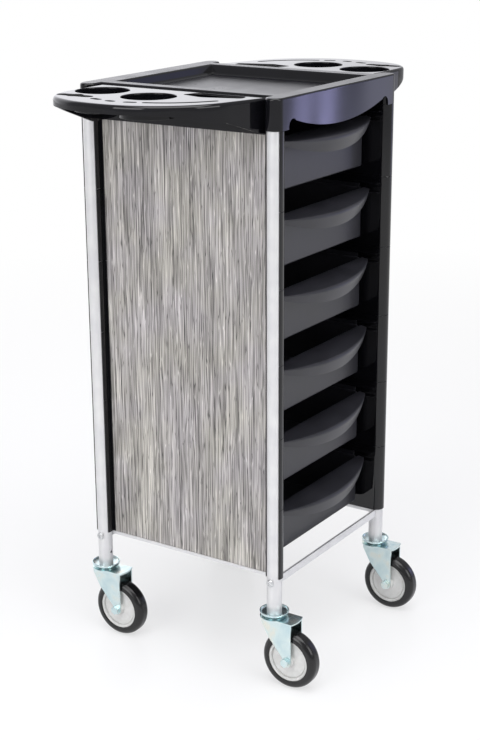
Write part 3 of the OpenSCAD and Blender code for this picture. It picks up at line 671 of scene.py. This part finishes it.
shape = bpy.data.meshes.new("wing_skirt")
shape.from_pydata(points, [], quads)
skirt = bpy.data.objects.new("wing_skirt", shape)
bpy.context.scene.collection.objects.link(skirt)
edit(skirt)
bpy.ops.mesh.select_all(action="SELECT")
bpy.ops.mesh.normals_make_consistent(inside=False)
bpy.ops.object.mode_set(mode="OBJECT")
thicken(skirt, plate_t * MM)
soften(skirt, 0.8, 2, 60)

flange_z, flange_top = 908 * MM, 962 * MM
flange = block(
    (flange_x * MM, (cart_y + wide) * MM, flange_z),
    ((flange_x + plate_t) * MM, (cart_y - wide) * MM, flange_top))
soften(flange, 0.6)

collar_r, collar_wall, collar_h = 45.7 * MM, 3.2 * MM, 28.5 * MM
collars = []
for x, y in bottle_holes:
    bpy.ops.mesh.primitive_cylinder_add(
        vertices=120, radius=collar_r, depth=collar_h, end_fill_type="NOTHING",
        location=(x * MM, (y + cart_y) * MM, plate_z - collar_h / 2))
    collar = bpy.context.active_object
    bpy.ops.object.transform_apply(location=True, rotation=True, scale=True)
    thicken(collar, collar_wall)
    soften(collar, 0.7, 3, 60)
    collars.append(collar)
wing = joined("wing_moulding_right", [top_plate, skirt, flange] + collars)
take(wing)
bpy.ops.object.shade_smooth_by_angle(angle=math.radians(32))
coat(wing, black_abs)
centre = Matrix.Translation((0, cart_y * MM, 0))
half_turn = centre @ Matrix.Rotation(math.pi, 4, "Z") @ centre.inverted()
left_wing = moved_copy(wing, "wing_moulding_left", half_turn)
put(wing, "frame", "black_abs", "wing_right")
put(left_wing, "frame", "black_abs", "wing_left")


# Casters: a pressed steel dish and stem in each post's end, and below it a pressed fork that swivels on
# a ball race. Both are bright zinc-plated, which gives a cold mirror with a faint blue and straw drift.
zinc, shader = finish("bright_zinc_plate")
tree = zinc.node_tree
place = add(tree, "TexCoord", {})
drift = add(tree, "TexNoise", {"Scale": 1 / (22 * MM), "Detail": 2.0}, {"Vector": place.outputs["Object"]})
zinc_tints = [(0.3, "#c4dade"), (0.55, "#d6e6e6"), (0.75, "#e2e4da")]
tone = add(tree, "ValToRGB", {"stops": zinc_tints}, {"Fac": drift.outputs["Fac"]})
gloss = add(tree, "MapRange", {"To Min": 0.16, "To Max": 0.3}, {"Value": drift.outputs["Fac"]})
tree.links.new(tone.outputs["Color"], shader.inputs["Base Color"])
tree.links.new(gloss.outputs["Result"], shader.inputs["Roughness"])
shader.inputs["Metallic"].default_value = 1.0


def turned(name, profile, axis):
    """A piece spun from a profile of radius and height, in millimetres, round Z or X."""
    shape = bpy.data.meshes.new(name)
    if axis == "Z":
        points = [(r * MM, 0, h * MM) for r, h in profile]
        way = (0, 0, 1)
    else:
        points = [(h * MM, r * MM, 0) for r, h in profile]
        way = (1, 0, 0)
    shape.from_pydata(points, [(i, i + 1) for i in range(len(points) - 1)], [])
    made = bpy.data.objects.new(name, shape)
    bpy.context.scene.collection.objects.link(made)
    edit(made)
    bpy.ops.mesh.select_all(action="SELECT")
    bpy.ops.mesh.spin(steps=72, angle=2 * math.pi, center=(0, 0, 0), axis=way)
    bpy.ops.mesh.select_all(action="SELECT")
    bpy.ops.mesh.remove_doubles(threshold=0.02 * MM)
    bpy.ops.mesh.normals_make_consistent(inside=False)
    bpy.ops.object.mode_set(mode="OBJECT")
    bpy.ops.object.shade_smooth_by_angle(angle=math.radians(32))
    return made


dish = turned("dish", [
    (0, 120.4), (16.6, 120.4), (17, 120.8), (17, 122.5), (18.5, 122.5), (21.2, 123.2), (23.2, 124.7),
    (24.2, 126.6), (24.5, 128.6), (24.2, 129.3), (23.5, 129.5), (22.9, 129.2), (22.5, 127.8), (21.5, 126.4),
    (19.8, 125.4), (17.5, 125), (12.4, 125), (12.4, 126), (0, 126)], "Z")
for corner in CORNERS:
    low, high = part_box("post_" + corner)
    seat = Vector(((low.x + high.x) / 2, (low.y + high.y) / 2, 0))
    stem = moved_copy(dish, "caster_dish_" + corner, Matrix.Translation(seat))
    coat(stem, zinc)
    put(stem, "frame", "zinc_plate", "caster_stem_" + corner)
    fork = fit_copy("caster_fork_" + corner, "caster_fork_pressing_" + corner)
    soften(fork, 0.7)
    coat(fork, zinc)
    put(fork, "swivel_" + corner, "zinc_plate", "caster_fork_" + corner)
    bolt = fit_copy("caster_axle_" + corner, "caster_bolt_" + corner)
    soften(bolt, 0.6)
    coat(bolt, zinc)
    put(bolt, "swivel_" + corner, "zinc_plate", "caster_axle_" + corner)
bpy.data.objects.remove(dish)


# Wheels: a light grey nylon hub with a boss, a groove and a raised ring, and a smooth black rubber tyre
# moulded round it. Nylon is slightly cloudy and satin; rubber is dark, with a broad shine and some dust.
hub_nylon, shader = finish("moulded_grey_nylon")
tree = hub_nylon.node_tree
place = add(tree, "TexCoord", {})
cloud = add(tree, "TexNoise", {"Scale": 1 / (9 * MM), "Detail": 3.0}, {"Vector": place.outputs["Object"]})
tone = add(tree, "ValToRGB", {"stops": [(0.3, "#d2d2cf"), (0.7, "#dddddb")]}, {"Fac": cloud.outputs["Fac"]})
tree.links.new(tone.outputs["Color"], shader.inputs["Base Color"])
shader.inputs["Roughness"].default_value = 0.45
rubber, shader = finish("smooth_black_rubber")
tree = rubber.node_tree
place = add(tree, "TexCoord", {})
dust = add(tree, "TexNoise", {"Scale": 1 / (6 * MM), "Detail": 4.0}, {"Vector": place.outputs["Object"]})
tone = add(tree, "ValToRGB", {"stops": [(0.35, "#0c0c0d"), (0.7, "#161616")]}, {"Fac": dust.outputs["Fac"]})
gloss = add(tree, "MapRange", {"To Min": 0.14, "To Max": 0.28}, {"Value": dust.outputs["Fac"]})
tree.links.new(tone.outputs["Color"], shader.inputs["Base Color"])
tree.links.new(gloss.outputs["Result"], shader.inputs["Roughness"])
face = [
    (4.1, 15.6), (10.3, 15.6), (11, 14.9), (11, 10.2), (11.6, 9), (13, 8.5), (30.2, 8.5), (30.7, 8),
    (30.9, 6.8), (32.1, 6.8), (32.4, 8), (32.5, 10), (33.1, 11.1), (34.1, 11.5), (36.1, 11.5), (36.9, 11)]
hub = turned("hub", face + [(r, -h) for r, h in face[::-1]] + face[:1], "X")
for corner in CORNERS:
    low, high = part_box("caster_axle_" + corner)
    wheel = moved_copy(hub, "wheel_disc_" + corner, Matrix.Translation((low + high) / 2))
    coat(wheel, hub_nylon)
    put(wheel, "wheel_" + corner, "hub_plastic", "wheel_hub_" + corner)
bpy.data.objects.remove(hub)
dress(rubber, *["tyre_" + corner for corner in CORNERS])


# Stage: a plain pale floor that runs into white, soft light from above and from the sides, and a camera
# at the photograph's angle. What the camera sees of the floor is mixed with plain white, more so far away,
# so the shadow stays by the wheels; mirrored rays see it bright in a ring 2.5 to 3.6 m away.
floor_paint, shader = finish("pale_floor")
tree = floor_paint.node_tree
shader.inputs["Base Color"].default_value = linear("#f4f4f6")
shader.inputs["Roughness"].default_value = 0.25
shader.inputs["Specular IOR Level"].default_value = 0.3
path = add(tree, "LightPath", {})
place = add(tree, "TexCoord", {})
reach = add(tree, "VectorMath", {"operation": "LENGTH"}, {0: place.outputs["Object"]})
fading = {"From Min": 0.7, "From Max": 3.0, "To Min": 0.6, "To Max": 1.0}
fade = add(tree, "MapRange", fading, {"Value": reach.outputs["Value"]})
plain = add(
    tree, "Math", {"operation": "MULTIPLY"}, {0: path.outputs["Is Camera Ray"], 1: fade.outputs["Result"]})
# Painted reflection: for mirrored rays only, the floor glows white in a ring 2.5 to 3.6 m away, which
# lightens the lower drawer fronts.
tenths = add(tree, "Math", {"operation": "MULTIPLY", 1: 0.1}, {0: reach.outputs["Value"]})
rings = [(0.08, "#909090"), (0.25, "#ffffff"), (0.36, "#ffffff"), (0.6, "#8a8a8a")]
ring = add(tree, "ValToRGB", {"stops": rings}, {"Fac": tenths.outputs["Value"]})
mirrored = add(
    tree, "Math", {"operation": "MULTIPLY"}, {0: path.outputs["Is Glossy Ray"], 1: ring.outputs["Color"]})
share = add(
    tree, "Math", {"operation": "MAXIMUM"}, {0: plain.outputs["Value"], 1: mirrored.outputs["Value"]})
glow = add(tree, "Emission", {"Color": (1, 1, 1, 1), "Strength": 1.0})
seen = add(
    tree, "MixShader", {},
    {0: share.outputs["Value"], 1: shader.outputs["BSDF"], 2: glow.outputs["Emission"]})
tree.links.new(seen.outputs["Shader"], tree.nodes["Material Output"].inputs["Surface"])
bpy.ops.object.select_all(action="DESELECT")
bpy.ops.mesh.primitive_plane_add(size=16, location=(0, 0, -0.2 * MM))
ground = bpy.context.active_object
ground.name = "floor"
coat(ground, floor_paint)

# The room is plain white to the camera and soft and even as a light. Mirrored rays find it brighter
# towards the rear right, which lays a pale shine on the tray and the wings.
world = bpy.data.worlds.new("white_room")
bpy.context.scene.world = world
world.use_nodes = True
tree = world.node_tree
tree.nodes.clear()
path = add(tree, "LightPath", {})
way = add(tree, "TexCoord", {})
rear_right = (0.44, 0.88, 0.1)
far = add(
    tree, "VectorMath", {"operation": "DOT_PRODUCT", 1: rear_right}, {0: way.outputs["Generated"]})
brightening = {"From Min": 0.7, "From Max": 0.88, "To Min": 0.5, "To Max": 1.75}
level = add(tree, "MapRange", brightening, {"Value": far.outputs["Value"]})
white = add(tree, "Background", {"Color": (1, 1, 1, 1), "Strength": 1.0})
soft = add(tree, "Background", {"Color": linear("#fbfbff"), "Strength": 0.52})
room = add(tree, "Background", {"Color": linear("#f4f4f9")}, {"Strength": level.outputs["Result"]})
mirrored = add(
    tree, "MixShader", {},
    {0: path.outputs["Is Glossy Ray"], 1: soft.outputs["Background"], 2: room.outputs["Background"]})
mixed = add(
    tree, "MixShader", {},
    {0: path.outputs["Is Camera Ray"], 1: mirrored.outputs["Shader"], 2: white.outputs["Background"]})
add(tree, "OutputWorld", {}, {"Surface": mixed.outputs["Shader"]})


def softbox(name, place, aim, size, power, tint="#ffffff", height=1):
    """An area lamp pointed at a place, square or taller by a factor."""
    lamp = bpy.data.lights.new(name, "AREA")
    lamp.shape = "RECTANGLE"
    lamp.size = size
    lamp.size_y = size * height
    lamp.energy = power
    lamp.color = linear(tint)[:3]
    made = bpy.data.objects.new(name, lamp)
    made.location = place
    made.rotation_euler = (Vector(aim) - Vector(place)).to_track_quat("-Z", "Y").to_euler()
    bpy.context.scene.collection.objects.link(made)


# Three large soft lamps light the cart. The window lamps are faint: they show as upright bluish streaks
# mirrored in the glossy apron.
softbox("overhead", (-0.6, -0.6, 3.4), (0, 0, 0.4), 2.6, 70)
softbox("left", (-3.2, 0.4, 1.9), (0, 0, 0.5), 2.0, 45)
softbox("front", (-0.4, -3.4, 1.8), (0, 0, 0.5), 1.8, 30)
upper_half = (0, 0, 0.7)
softbox("window_sky", (2.75, -2.0, 1.1), upper_half, 0.9, 1.8, "#7684ff", 2.2)
softbox("window_left", (2.65, -1.83, 0.75), upper_half, 0.06, 0.62, "#c2c0ff", 17)
softbox("window_middle", (2.703, -1.759, 0.75), upper_half, 0.06, 0.72, "#c2c0ff", 17)
softbox("window_right", (2.885, -1.51, 0.75), upper_half, 0.34, 0.9, "#d8d8ee", 3)

# The camera's place, its turns and its focal length in pixels of a frame 740 pixels high.
place = (-2.0794, -1.3426, 1.2661)
yaw, pitch, roll = math.radians(-56.506), math.radians(17.805), math.radians(-0.36)
focal_pixels, frame_pixels, sensor = 1512.85, 740, 36
away = Vector((math.sin(yaw) * math.cos(pitch), -math.cos(yaw) * math.cos(pitch), math.sin(pitch)))
across = Vector((math.cos(yaw), math.sin(yaw), 0))
up = away.cross(across)
x_axis = math.cos(roll) * across + math.sin(roll) * up
y_axis = math.cos(roll) * up - math.sin(roll) * across
lens = bpy.data.cameras.new("photo_angle")
lens.sensor_width = sensor
lens.sensor_fit = "AUTO"
lens.lens = focal_pixels / frame_pixels * sensor
camera = bpy.data.objects.new("photo_angle", lens)
turned_to = [(x_axis[i], y_axis[i], away[i], place[i]) for i in range(3)]
camera.matrix_world = Matrix(turned_to + [(0, 0, 0, 1)])
bpy.context.scene.collection.objects.link(camera)
bpy.context.scene.camera = camera
bpy.context.scene.view_settings.view_transform = "Standard"
